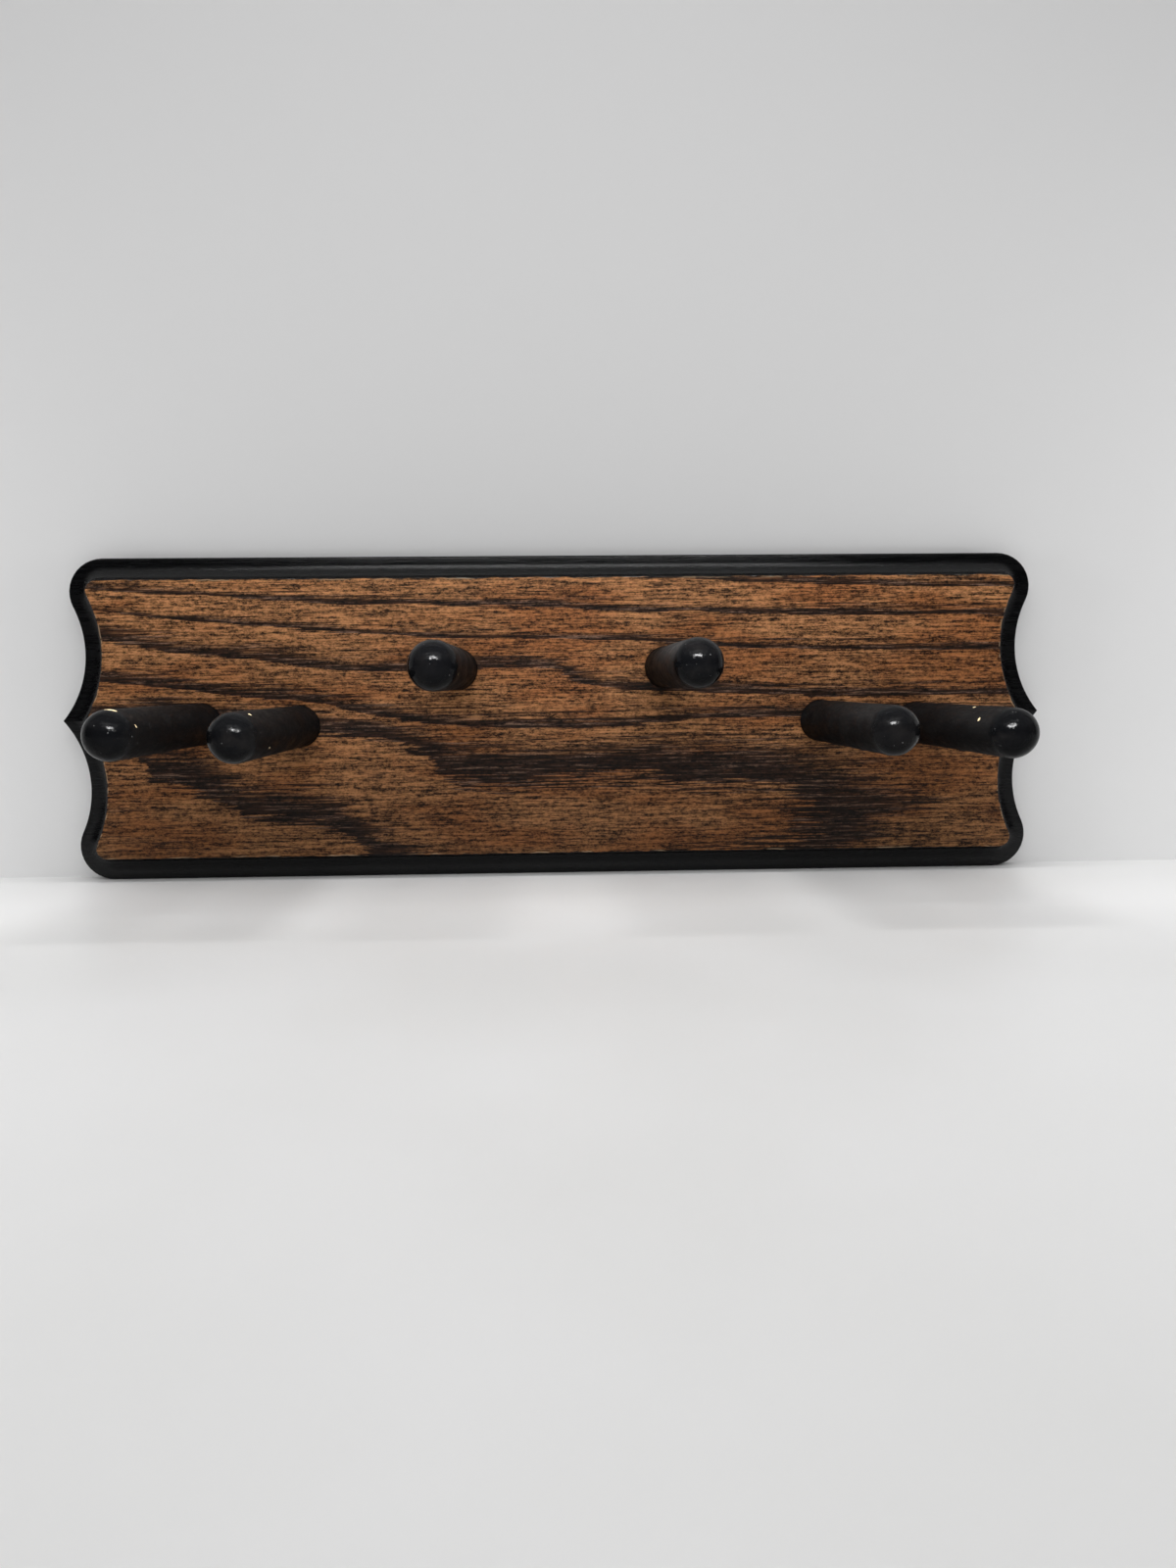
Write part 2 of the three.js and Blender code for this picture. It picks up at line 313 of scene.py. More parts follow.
class Graph:
    """A node tree, with short ways to add the nodes that the finishes and the surroundings use.

    An input of a node is given as a number, as a colour, or as the output of another node.
    """

    def __init__(self, owner: bpy.types.Material | bpy.types.World, shader: str) -> None:
        """Gives a material or world its nodes.

        Args:
            owner: What the tree belongs to.
            shader: The name of the shader that its tree starts with.
        """
        owner.use_nodes = True
        self.owner = owner
        self.tree = owner.node_tree
        self.shader = self.tree.nodes[shader]

    def put(self, node: bpy.types.Node, socket: str | int, value: Input) -> None:
        """Sets one input of a node, or links another node's output to it.

        Args:
            node: The node.
            socket: The input's name or number.
            value: What goes into it.
        """
        if isinstance(value, Socket):
            self.tree.links.new(value, node.inputs[socket])
        else:
            node.inputs[socket].default_value = value

    def set(self, **values: Input) -> None:
        """Sets the shader's inputs.

        Args:
            values: What goes into each input, by its name with _ for a space.
        """
        for name, value in values.items():
            self.put(self.shader, name.replace("_", " "), value)

    def where(self, scale: Place = (1, 1, 1), offset: Place = (0, 0, 0)) -> Socket:
        """The place on the object, in repeats of a pattern.

        Args:
            scale: Repeats in each metre, along X, Y and Z.
            offset: How far the pattern is moved.

        Returns:
            The scaled place.
        """
        source = self.tree.nodes.new("ShaderNodeTexCoord")
        node = self.tree.nodes.new("ShaderNodeMapping")
        self.put(node, "Vector", source.outputs["Object"])
        self.put(node, "Scale", scale)
        self.put(node, "Location", offset)
        return node.outputs["Vector"]

    def along(self, axis: str) -> Socket:
        """The place on the object along one axis.

        Args:
            axis: X, Y or Z.

        Returns:
            The coordinate in metres.
        """
        node = self.tree.nodes.new("ShaderNodeSeparateXYZ")
        self.put(node, 0, self.where())
        return node.outputs[axis]

    def value(self, name: str) -> Socket:
        """The numbers that write_values stored on the mesh.

        Args:
            name: What they are stored under.

        Returns:
            The numbers.
        """
        node = self.tree.nodes.new("ShaderNodeAttribute")
        node.attribute_name = name
        return node.outputs["Fac"]

    def noise(self, scale: Place, offset: Place = (0, 0, 0), detail: float = 2.0,
              rough: float = 0.5) -> Socket:
        """Fractal noise that stays with the object, one hill for each repeat.

        Args:
            scale: Repeats in each metre, along X, Y and Z.
            offset: How far the noise is moved, so that two noises of one scale differ.
            detail: How many finer noises are added.
            rough: The strength of each finer noise, as a share of the one before.

        Returns:
            The noise, from 0 to 1.
        """
        node = self.tree.nodes.new("ShaderNodeTexNoise")
        self.put(node, "Vector", self.where(scale, offset))
        self.put(node, "Scale", 1.0)
        self.put(node, "Detail", detail)
        self.put(node, "Roughness", rough)
        return node.outputs["Fac"]

    def math(self, operation: str, a: Input, b: Input = 0.0, c: Input = 0.0) -> Socket:
        """One Math node.

        Args:
            operation: Blender's name for the sum.
            a: The first number.
            b: The second number.
            c: The third number.

        Returns:
            The result.
        """
        node = self.tree.nodes.new("ShaderNodeMath")
        node.operation = operation
        for index, value in enumerate((a, b, c)):
            self.put(node, index, value)
        return node.outputs[0]

    def times(self, a: Input, b: Input) -> Socket:
        """The product of two numbers."""
        return self.math("MULTIPLY", a, b)

    def scaled(self, colour: Input, factor: Input) -> Socket:
        """A colour times a number.

        Args:
            colour: The colour.
            factor: The number.

        Returns:
            The brighter or darker colour.
        """
        node = self.tree.nodes.new("ShaderNodeVectorMath")
        node.operation = "SCALE"
        self.put(node, 0, colour)
        self.put(node, "Scale", factor)
        return node.outputs["Vector"]

    def span(self, value: Input, low: float, high: float, to: Span = (0.0, 1.0),
             smooth: bool = True) -> Socket:
        """Turns the range from low to high into another range, and goes no further at either end.

        Args:
            value: The number to turn.
            low: Where the first of to is reached.
            high: Where the second of to is reached.
            to: The two ends of the new range.
            smooth: Eases the change at both ends.

        Returns:
            The number in the new range.
        """
        node = self.tree.nodes.new("ShaderNodeMapRange")
        node.interpolation_type = "SMOOTHSTEP" if smooth else "LINEAR"
        self.put(node, "Value", value)
        for socket, number in (("From Min", low), ("From Max", high), ("To Min", to[0]), ("To Max", to[1])):
            self.put(node, socket, number)
        return node.outputs["Result"]

    def mix(self, share: Input, a: Input, b: Input) -> Socket:
        """Colour a with colour b over it.

        Args:
            share: How much of b covers a, from 0 to 1.
            a: The colour underneath.
            b: The colour on top.

        Returns:
            The mixed colour.
        """
        node = self.tree.nodes.new("ShaderNodeMix")
        node.data_type = "RGBA"
        inputs = [s for s in node.inputs if s.enabled]
        for socket, value in zip(inputs, (share, a, b)):
            if isinstance(value, Socket):
                self.tree.links.new(value, socket)
            else:
                socket.default_value = (*value, 1.0) if isinstance(value, tuple) else value
        return next(s for s in node.outputs if s.enabled)

    def blend(self, share: Input, a: Input, b: Input) -> Socket:
        """Number a, and number b in its place by a share from 0 to 1."""
        return self.math("ADD", self.times(self.math("SUBTRACT", 1.0, share), a), self.times(share, b))

    def bump(self, height: Input, depth: float) -> Socket:
        """A normal bent by a height.

        Args:
            height: The height, in parts of depth.
            depth: How many metres a height of 1 stands for.

        Returns:
            The normal.
        """
        node = self.tree.nodes.new("ShaderNodeBump")
        self.put(node, "Height", height)
        self.put(node, "Distance", depth)
        return node.outputs["Normal"]


def finish(name: str) -> Graph:
    """A new material with one Principled shader."""
    return Graph(bpy.data.materials.new(name), "Principled BSDF")


@dataclass(frozen=True)
class BlackPaint:
    """Black paint put on with a brush, as it lies on the plank's edge.

    thin is its colour where the coat is thin, and highlight_fleck the light grey of the painted highlight
    flecks along the top of the cove. streak is the length and the widths of a brush mark along X, Y and Z,
    and mark_depth its depth, in metres.
    """

    colour: Colour = (0.0018, 0.0019, 0.0022)
    thin: Colour = (0.0045, 0.0042, 0.0042)
    # Painted highlight: the light grey of the flecks painted along the top of the cove.
    highlight_fleck: Colour = (0.22, 0.215, 0.205)
    roughness: Span = (0.16, 0.38)
    streak: Place = (0.012, 0.0007, 0.0007)
    mark_depth: float = 0.00016

    def marks(self, graph: Graph) -> Socket:
        """The height of the brush marks, from 0 to 1: fine ones over softer ones about four times as wide.

        Args:
            graph: The material being made.

        Returns:
            The height.
        """
        long, wide, high = self.streak
        coarse = graph.noise((1 / long, 1 / wide, 1 / high), detail=3, rough=0.6)
        soft = graph.noise((0.3 / long, 0.25 / wide, 0.25 / high), (5, 2, 7), detail=1)
        return graph.blend(0.45, coarse, soft)


@dataclass(frozen=True)
class PegPaint(BlackPaint):
    """The pegs' paint: glossy on the rounded tip, duller along the shaft, and chipped to bare wood in places.

    The shaft's roughness takes over from the tip's at the depth tip_y, over the length tip_blend.
    """

    name: str = "peg_paint"
    streak: Place = (0.0013, 0.005, 0.0013)
    mark_depth: float = 0.00020
    roughness: Span = (0.05, 0.15)
    sheen: float = 0.055
    shaft_roughness: Span = (0.46, 0.70)
    bare: Colour = (0.62, 0.50, 0.30)
    bare_roughness: float = 0.7
    dust: Colour = (0.12, 0.12, 0.12)
    tip_y: float = -0.1420
    tip_blend: float = 0.006

    def material(self) -> bpy.types.Material:
        """Makes the finish: paint, specks of dust on it, and bare wood wherever a peg's chip numbers say so.

        Returns:
            The material.
        """
        graph = finish(self.name)
        marks = self.marks(graph)
        shaft = graph.span(graph.along("Y"), self.tip_y, self.tip_y + self.tip_blend)
        patches = graph.noise((110, 60, 110), detail=4, rough=0.6)
        specks = graph.span(graph.noise((900, 900, 900), (3, 1, 2), detail=1), 0.76, 0.79)
        frayed = graph.math("MULTIPLY_ADD", graph.noise((1500, 1500, 1500), detail=2), 0.9, -0.45)
        chips = graph.span(graph.math("ADD", graph.value("chip"), frayed), 0.38, 0.46)
        uneven = graph.blend(0.5, patches, marks)
        gloss = graph.span(uneven, 0.35, 0.65, self.roughness)
        dull = graph.span(uneven, 0.35, 0.65, self.shaft_roughness)
        coat = graph.mix(graph.span(patches, 0.45, 0.75), self.colour, self.thin)
        coat = graph.mix(graph.times(specks, 0.6), coat, self.dust)
        rough_chips = graph.times(chips, self.bare_roughness)
        graph.set(
            Base_Color=graph.mix(chips, coat, self.bare),
            Roughness=graph.math("MAXIMUM", graph.blend(shaft, gloss, dull), rough_chips),
            Specular_IOR_Level=self.sheen,
            Normal=graph.bump(graph.math("SUBTRACT", marks, graph.times(chips, 0.6)), self.mark_depth),
        )
        return graph.owner


@dataclass(frozen=True)
class StainedWood:
    """Open-grained wood stained a satin brown, with the painted edge laid over its rim.

    The growth number draws the rings. Dark, open wood begins sharply at each ring's line and fades into pale
    wood, with long streaks and short pores. Painted shade and light: painted_shading is the colour's factor
    at the two heights of painted_shading_z, so the face is painted darker low down and lighter at the top, as
    the light falls off down it. The rim number, in millimetres, says where the black paint takes over, and
    highlight_z and highlight_rim bound the strip along the top of the cove where light grey flecks are
    painted in as a broken highlight. The raw number is 1 on the back, which is hardly stained.
    """

    name: str = "stained_wood"
    pale: Colour = (0.268, 0.122, 0.048)
    red: Colour = (0.215, 0.082, 0.027)
    dark: Colour = (0.022, 0.0095, 0.0050)
    # Painted highlight: the lighter streaks in the dark open wood stand in for light caught on its raised
    # fibres.
    ridge: Colour = (0.115, 0.066, 0.044)
    deep: Colour = (0.008, 0.0045, 0.003)
    bare: Colour = (0.42, 0.29, 0.17)
    # Painted shade and light: the colour's factor at the lower and the upper height, darker low down and
    # lighter at the top, as the light falls off down the face.
    painted_shading: Span = (0.58, 1.28)
    painted_shading_z: Span = (-0.065, 0.060)
    roughness: Span = (0.46, 0.36)
    sheen: float = 0.17
    grain_depth: float = 0.00022
    paint_gloss: float = 0.18
    gloss_roughness: float = 0.16
    # Painted highlight: the heights and rim distances of the strip that gets light grey flecks as a
    # highlight.
    highlight_z: Span = (0.050, 0.056)
    highlight_rim: Span = (-2.6, -1.6)
    paint: BlackPaint = field(default_factory=BlackPaint)

    def openness(self, graph: Graph) -> Socket:
        """How dark and open the wood is, from 0 in late wood to 1 at a growth line.

        The growth number is moved a little in long wedges, which frays each line into overlapping slivers.

        Args:
            graph: The material being made.

        Returns:
            The share of open wood.
        """
        wedges = graph.noise((26, 300, 1250), detail=3, rough=0.6)
        growth = graph.math("ADD", graph.value("growth"), graph.math("MULTIPLY_ADD", wedges, 0.24, -0.12))
        ring = graph.math("FRACT", growth)
        streaks = graph.noise((18, 200, 850), (3, 1, 5), detail=4, rough=0.75)
        faded = graph.times(ring, graph.span(streaks, 0.36, 0.64, (0.35, 2.6), smooth=False))
        return graph.times(graph.span(faded, 0.14, 0.70, (1.0, 0.0)),
                           graph.span(ring, 0.52, 0.66, (1.0, 0.0)))

    def timber(self, graph: Graph, open_wood: Socket, pores: Socket, speckle: Socket,
               height: Socket) -> Socket:
        """The stained wood's colour, with painted highlights on its ridges and painted shade that darkens it
        towards the bottom.

        Args:
            graph: The material being made.
            open_wood: The share of open wood.
            pores: Where the pores are.
            speckle: The fine, uneven take-up of the staining, around 1.
            height: The place along Z.

        Returns:
            The colour.
        """
        # Painted highlight: lighter streaks in the open wood, standing in for light caught on raised fibres.
        ridge_highlights = graph.span(graph.noise((42, 300, 1150), (9, 2, 4), detail=2), 0.50, 0.64)
        cloud = graph.noise((18, 30, 70), (2, 3, 1), detail=3)
        tone = graph.mix(graph.span(cloud, 0.42, 0.66), self.pale, self.red)
        tone = graph.mix(open_wood, tone, graph.mix(ridge_highlights, self.dark, self.ridge))
        # Painted shade and light: the colour is scaled by height, darker towards the bottom and lighter at
        # the top, as the light falls off down the face.
        painted_shading = graph.span(height, *self.painted_shading_z, self.painted_shading, smooth=False)
        tone = graph.scaled(tone, graph.times(speckle, painted_shading))
        return graph.mix(graph.times(pores, 0.8), tone, self.deep)

    def worn(self, graph: Graph, wood: Socket, rim: Socket, speckle: Socket) -> Socket:
        """Bares the wood in spots along the paint's edge, and lightens it on the back.

        Args:
            graph: The material being made.
            wood: The stained wood's colour.
            rim: The distance from the paint's ragged edge.
            speckle: The fine, uneven take-up of the staining, around 1.

        Returns:
            The colour.
        """
        spots = graph.span(graph.noise((55, 55, 300), (8, 1, 3), detail=3), 0.52, 0.60)
        rubbed = graph.times(graph.span(rim, 0.35, 0.6, (1.0, 0.0)), spots)
        wood = graph.mix(graph.times(rubbed, 0.7), wood, self.bare)
        raw = graph.scaled(self.bare, graph.times(speckle, 0.8))
        return graph.mix(graph.times(graph.value("raw"), 0.5), wood, raw)

    def coat(self, graph: Graph, rim: Socket, height: Socket) -> Socket:
        """The paint's colour, with light grey flecks painted along the top of the cove as a broken highlight.

        Args:
            graph: The material being made.
            rim: The distance from the paint's ragged edge.
            height: The place along Z.

        Returns:
            The colour.
        """
        # Painted highlight: light grey flecks along the top of the cove, where light from above catches it.
        upper = graph.times(graph.span(height, *self.highlight_z), graph.span(rim, *self.highlight_rim))
        ragged = graph.noise((90, 500, 900), (6, 2, 1), detail=3, rough=0.7)
        highlight_flecks = graph.times(upper, graph.span(ragged, 0.54, 0.62))
        return graph.mix(highlight_flecks, self.paint.colour, self.paint.highlight_fleck)

    def material(self) -> bpy.types.Material:
        """Makes the finish: wood, its worn rim and raw back, and the paint over the edge.

        Returns:
            The material.
        """
        graph = finish(self.name)
        open_wood = self.openness(graph)
        speck = graph.noise((460, 600, 930), detail=3, rough=0.8)
        line = graph.noise((56, 300, 1000), (1, 4, 2), detail=3, rough=0.75)
        pore_field = graph.noise((130, 600, 1900), (7, 3, 9), detail=2, rough=0.5)
        pores = graph.span(graph.math("ADD", pore_field, graph.times(open_wood, 0.10)), 0.60, 0.67)
        speckle = graph.span(graph.blend(0.5, speck, line), 0.41, 0.59, (0.04, 1.96), smooth=False)
        height = graph.along("Z")
        ragged = graph.noise((160, 160, 160), (4, 4, 4), detail=3)
        rim = graph.math("SUBTRACT", graph.value("rim"), graph.math("MULTIPLY_ADD", ragged, 1.6, -0.55))
        painted = graph.span(rim, -0.08, 0.08, (1.0, 0.0))
        marks = self.paint.marks(graph)
        wood = self.worn(graph, self.timber(graph, open_wood, pores, speckle, height), rim, speckle)
        fibres = graph.math("SUBTRACT", graph.blend(0.35, line, speck), graph.times(pores, 0.5))
        brushed = graph.times(marks, self.paint.mark_depth / self.grain_depth)
        graph.set(
            Base_Color=graph.mix(painted, wood, self.coat(graph, rim, height)),
            Roughness=graph.blend(painted, graph.span(open_wood, 0.0, 1.0, self.roughness),
                                  graph.span(marks, 0.3, 0.7, self.paint.roughness)),
            Specular_IOR_Level=self.sheen,
            Coat_Weight=graph.times(painted, self.paint_gloss),
            Coat_Roughness=self.gloss_roughness,
            Normal=graph.bump(graph.blend(painted, fibres, brushed), self.grain_depth),
        )
        return graph.owner


@dataclass(frozen=True)
class ZincSteel:
    """Zinc-plated steel: grey with a faint bloom and fine rolling lines."""

    name: str = "zinc_plated_steel"
    bright: Colour = (0.60, 0.60, 0.59)
    dull: Colour = (0.36, 0.36, 0.34)
    roughness: Span = (0.26, 0.48)
    scuff_depth: float = 0.00003

    def material(self) -> bpy.types.Material:
        """Makes the finish.

        Returns:
            The material.
        """
        graph = finish(self.name)
        bloom = graph.noise((260, 260, 260), detail=3)
        lines = graph.noise((5200, 900, 160), detail=2)
        graph.set(
            Metallic=1.0,
            Base_Color=graph.mix(graph.span(bloom, 0.35, 0.7), self.bright, self.dull),
            Roughness=graph.span(graph.blend(0.5, bloom, lines), 0.3, 0.7, self.roughness),
            Normal=graph.bump(lines, self.scuff_depth),
        )
        return graph.owner


# ---------------------------------------------------------------- the plank


@dataclass
class Plank:
    """The plank: a face grid and a back grid of the same rows and columns, joined by the edge's section.

    back_margin is how far the edge's paint comes round onto the back, and relief the depth of the open wood's
    furrows. near is how close to the back a point lies when it counts as being on it. Points on the edge's
    section, which ends crest short of the face, have edge_cover taken off their rim distance.
    """

    lobe_radius: float = 0.0156
    scallop_radius: float = 0.0487
    scallop_height: float = 0.03135
    cove_radius: float = 0.0072
    ledge_width: float = 0.0034
    face_step: float = 0.0018
    back_round: float = 0.0005
    lip_round: float = 0.0008
    face_round: float = 0.0003
    socket_play: float = 0.00015
    socket_depth: float = 0.0127
    socket_mouth: float = 0.0002
    socket_margin: float = 0.0028
    seat_play: float = 0.0003
    head_room_radius: float = 0.006
    head_room_y: float = -0.0085
    seat_margin: float = 0.003
    columns: int = 180
    lobe_steps: int = 12
    scallop_steps: int = 58
    relief: float = 0.00010
    back_margin: float = 0.0028
    furrow: Span = (0.025, 0.0017)
    near: float = 0.0002
    crest: float = 0.0005
    edge_cover: float = 0.002
    grain: Grain = field(default_factory=Grain)

    def __post_init__(self) -> None:
        """Reads the plank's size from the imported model."""
        low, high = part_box("plank")
        self.half_length, self.half_height, self.thickness = high.x, high.z, -low.y

    def side(self, inset: float) -> np.ndarray:
        """The outline's right-hand end, moved in by inset: lobe, two scallops and lobe, from the top down.

        Lobes and scallops keep their centres, so a lobe's radius shrinks and a scallop's grows.

        Args:
            inset: How far inside the outer outline.

        Returns:
            X and Z of each point.
        """
        lobe_z = self.half_height - self.lobe_radius
        scallop_x = self.half_length + math.sqrt(self.scallop_radius**2 - self.scallop_height**2)
        rise = lobe_z - self.scallop_height
        run = math.sqrt((self.scallop_radius + self.lobe_radius) ** 2 - rise**2)
        lean = math.atan2(rise, run)
        scallop = self.scallop_radius + inset
        cusp = math.pi + math.asin(self.scallop_height / scallop)
        lobe = arc((scallop_x - run, lobe_z), self.lobe_radius - inset, math.pi / 2, -lean, self.lobe_steps)
        hollow = arc((scallop_x, self.scallop_height), scallop, math.pi - lean, cusp, self.scallop_steps)
        upper = np.concatenate([lobe, hollow[1:]])
        return np.concatenate([upper, upper[-2::-1] * (1, -1)])

    def loop(self, inset: float, y: float) -> np.ndarray:
        """One closed ring round the plank: top edge, right end, bottom edge and left end.

        Args:
            inset: How far inside the outer outline.
            y: The ring's depth.

        Returns:
            The ring's points.
        """
        side = self.side(inset)
        across = np.linspace(-1, 1, self.columns + 1)
        top = np.stack([across * side[0, 0], np.full(len(across), side[0, 1])], axis=1)
        bottom = np.stack([across[::-1] * side[-1, 0], np.full(len(across), side[-1, 1])], axis=1)
        left = side[::-1] * (-1, 1)
        ring = np.concatenate([top, side[1:], bottom[1:], left[1:-1]])
        return np.stack([ring[:, 0], np.full(len(ring), y), ring[:, 1]], axis=1)

    def section(self) -> np.ndarray:
        """The edge's section from the back to the face, as inset and depth: rounded back, side, lip, ledge,
        cove, step and rounded rim."""
        lip = self.thickness - self.face_step - self.cove_radius
        rim = self.ledge_width + self.cove_radius
        quarter = math.pi / 2
        back = arc((self.back_round, -self.back_round), self.back_round, quarter, 2 * quarter, 3)
        sides = np.stack([np.zeros(3), -np.linspace(0.003, lip - 0.003, 3)], axis=1)
        edge = arc((self.lip_round, self.lip_round - lip), self.lip_round, 2 * quarter, 3 * quarter, 4)
        cove = arc((self.ledge_width, -lip - self.cove_radius), self.cove_radius, quarter, 0, 12)
        crest = arc((rim + self.face_round, self.face_round - self.thickness), self.face_round,
                    2 * quarter, 3 * quarter, 3)
        return np.concatenate([back, sides, edge, cove, crest])

    def frame_grid(self, shell: Shell, ring: np.ndarray, inset: float, y: float) -> np.ndarray:
        """Fills a ring with a grid whose rows run from the left end to the right end.

        Args:
            shell: The mesh being made.
            ring: The point numbers of the ring that bounds the grid.
            inset: The ring's inset.
            y: The grid's depth.

        Returns:
            The grid's point numbers, the ring's own among them.
        """
        side = self.side(inset)
        rows, columns = len(side), self.columns
        across = np.linspace(-1, 1, columns + 1)
        x = side[1:-1, 0:1] * across[1:-1]
        z = np.broadcast_to(side[1:-1, 1:2], x.shape)
        grid = np.empty((rows, columns + 1), int)
        grid[1:-1, 1:-1] = shell.add(np.stack([x, np.full(x.shape, y), z], axis=-1))
        grid[0] = ring[: columns + 1]
        grid[:, -1] = ring[columns : columns + rows]
        grid[-1, ::-1] = ring[columns + rows - 1 : 2 * columns + rows]
        grid[1:-1, 0] = ring[2 * columns + rows :][::-1]
        return grid

    def bore(self, shell: Shell, grid: np.ndarray, keep: np.ndarray, ends: tuple[Place, Place],
             steps: list[tuple[float, float]], margin: float) -> None:
        """Opens a round or slotted hole in a grid, down through the given steps to a closed floor.

        A block of faces is left out. Its border is carried in to the hole's edge: each border point goes
        straight towards the nearest point of the slot's middle line, and stops one radius from it.

        Args:
            shell: The mesh being made.
            grid: The point numbers of the grid.
            keep: For each face of the grid, whether it is made; the block's are switched off.
            ends: The two ends of the hole's middle line, at the grid's depth.
            steps: Radius and depth of each ring down the hole, from the grid's own depth.
            margin: How far the block reaches past the first radius.
        """
        low, high = np.array(ends[0]), np.array(ends[1])
        points = np.concatenate(shell.points)[grid]
        reach = steps[0][0] + margin
        inside = (points[..., 0] > low[0] - reach) & (points[..., 0] < high[0] + reach)
        inside &= (points[..., 2] > low[2] - reach) & (points[..., 2] < high[2] + reach)
        rows, columns = np.where(inside.any(axis=1))[0], np.where(inside.any(axis=0))[0]
        top, bottom, left, right = rows[0], rows[-1], columns[0], columns[-1]
        keep[top:bottom, left:right] = False
        border = np.concatenate([grid[top, left:right], grid[top:bottom, right],
                                 grid[bottom, right:left:-1], grid[bottom:top:-1, left]])
        place = np.concatenate(shell.points)[border]
        middle = place.copy()
        middle[:, 0] = low[0]
        middle[:, 2] = np.clip(place[:, 2], low[2], high[2])
        outward = place - middle
        outward /= np.linalg.norm(outward, axis=1, keepdims=True)
        rings = [border]
        edge = middle + outward * steps[0][0]
        rings += [shell.add(place + (edge - place) * share) for share in (0.4, 0.75)]
        for radius, depth in steps:
            ring = middle + outward * radius
            ring[:, 1] = depth
            rings.append(shell.add(ring))
        flip = place[0, 1] < -self.thickness / 2
        shell.bands(np.array(rings), flip=flip)
        shell.cap(rings[-1], (low[0], steps[-1][1], (low[2] + high[2]) / 2), flip=flip)

    def open_sockets(self, shell: Shell, grid: np.ndarray, keep: np.ndarray) -> None:
        """Bores the six sockets into the face grid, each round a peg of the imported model.

        Args:
            shell: The mesh being made.
            grid: The face grid's point numbers.
            keep: For each face of the grid, whether it is made.
        """
        for name in PEG_NAMES:
            low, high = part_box(name)
            radius = (high.x - low.x) / 2 + self.socket_play
            centre = ((low.x + high.x) / 2, -self.thickness, (low.z + high.z) / 2)
            mouth = self.socket_mouth
            steps = [(radius + mouth, -self.thickness), (radius, mouth - self.thickness),
                     (radius, self.socket_depth - self.thickness)]
            self.bore(shell, grid, keep, (centre, centre), steps, self.socket_margin)

    def open_pockets(self, shell: Shell, grid: np.ndarray, keep: np.ndarray) -> None:
        """Lets the two hanger seats into the back grid, each with the hollow behind its keyhole.

        Args:
            shell: The mesh being made.
            grid: The back grid's point numbers.
            keep: For each face of the grid, whether it is made.
        """
        for side in Side:
            low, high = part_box(f"hanger_plate_{side.name.lower()}")
            radius = (high.x - low.x) / 2
            x = (low.x + high.x) / 2
            ends = ((x, 0.0, low.z + radius), (x, 0.0, high.z - radius))
            play = self.seat_play
            seat, floor = radius + play, low.y - play
            steps = [(seat + play, 0.0), (seat, -play), (seat, floor), (self.head_room_radius, floor),
                     (self.head_room_radius, self.head_room_y)]
            self.bore(shell, grid, keep, ends, steps, self.seat_margin)

    def rim_distance(self, place: np.ndarray) -> np.ndarray:
        """How far each point lies inside the paint's edge, in millimetres, below zero where there is paint.

        It is the least of the distances to the top and bottom edges and to the four scallops, each taken from
        its own centre.

        Args:
            place: The points.

        Returns:
            The distances.
        """
        rim = np.where(place[:, 1] > -self.near, self.back_margin, self.ledge_width + self.cove_radius)
        x, z = np.abs(place[:, 0]), np.abs(place[:, 2])
        scallop_x = self.half_length + math.sqrt(self.scallop_radius**2 - self.scallop_height**2)
        from_end = np.hypot(x - scallop_x, z - self.scallop_height) - self.scallop_radius
        inset = np.minimum(self.half_height - z, from_end)
        edge = (place[:, 1] > self.crest - self.thickness) & (place[:, 1] < -self.near)
        return (inset - rim - np.where(edge, self.edge_cover, 0)) / MM

    def build(self) -> bpy.types.Object:
        """Makes the plank and stores its growth numbers, its rim distances and where it is raw.

        Returns:
            The plank.
        """
        shell = Shell()
        section = self.section()
        rings = np.stack([shell.add(self.loop(inset, y)) for inset, y in section])
        shell.bands(rings, flip=True)
        back = self.frame_grid(shell, rings[0], section[0, 0], 0.0)
        face = self.frame_grid(shell, rings[-1], section[-1, 0], -self.thickness)
        keep_back = np.ones((back.shape[0] - 1, back.shape[1] - 1), bool)
        keep_face = keep_back.copy()
        self.open_pockets(shell, back, keep_back)
        self.open_sockets(shell, face, keep_face)
        shell.skin(back, keep_back)
        shell.skin(face, keep_face, flip=True)
        piece = shell.finished("plank_board")
        place = places(piece.data)
        growth = self.grain.field(place[:, 0] / MM, place[:, 2] / MM)
        self.carve(piece.data, place, growth)
        write_values(piece.data, "growth", growth)
        write_values(piece.data, "rim", self.rim_distance(place))
        write_values(piece.data, "raw", place[:, 1] > -self.near)
        return piece

    def carve(self, mesh: bpy.types.Mesh, place: np.ndarray, growth: np.ndarray) -> None:
        """Sinks the open wood of the face a little, in long furrows that are deepest at a growth line.

        Args:
            mesh: The plank's mesh.
            place: Its points.
            growth: Their growth numbers.
        """
        on_face = (place[:, 1] < 0.00001 - self.thickness) & (self.rim_distance(place) > 0.5)
        open_wood = np.clip(1.2 - 2 * (growth % 1), 0, 1)
        length, width = self.furrow
        furrow = 0.5 + 0.5 * drift(place[:, 0] / length, place[:, 2] / width, 21)
        moved = place.copy()
        moved[:, 1] += np.where(on_face, self.relief * open_wood * furrow, 0)
        mesh.vertices.foreach_set("co", moved.astype(np.float32).ravel())
        mesh.update()

    def dress(self, piece: bpy.types.Object) -> None:
        """Gives the plank its finish and body.

        Args:
            piece: The plank.
        """
        piece.data.materials.append(StainedWood().material())
        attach(piece, BODY)
        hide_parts("plank")


# ---------------------------------------------------------------- the pegs

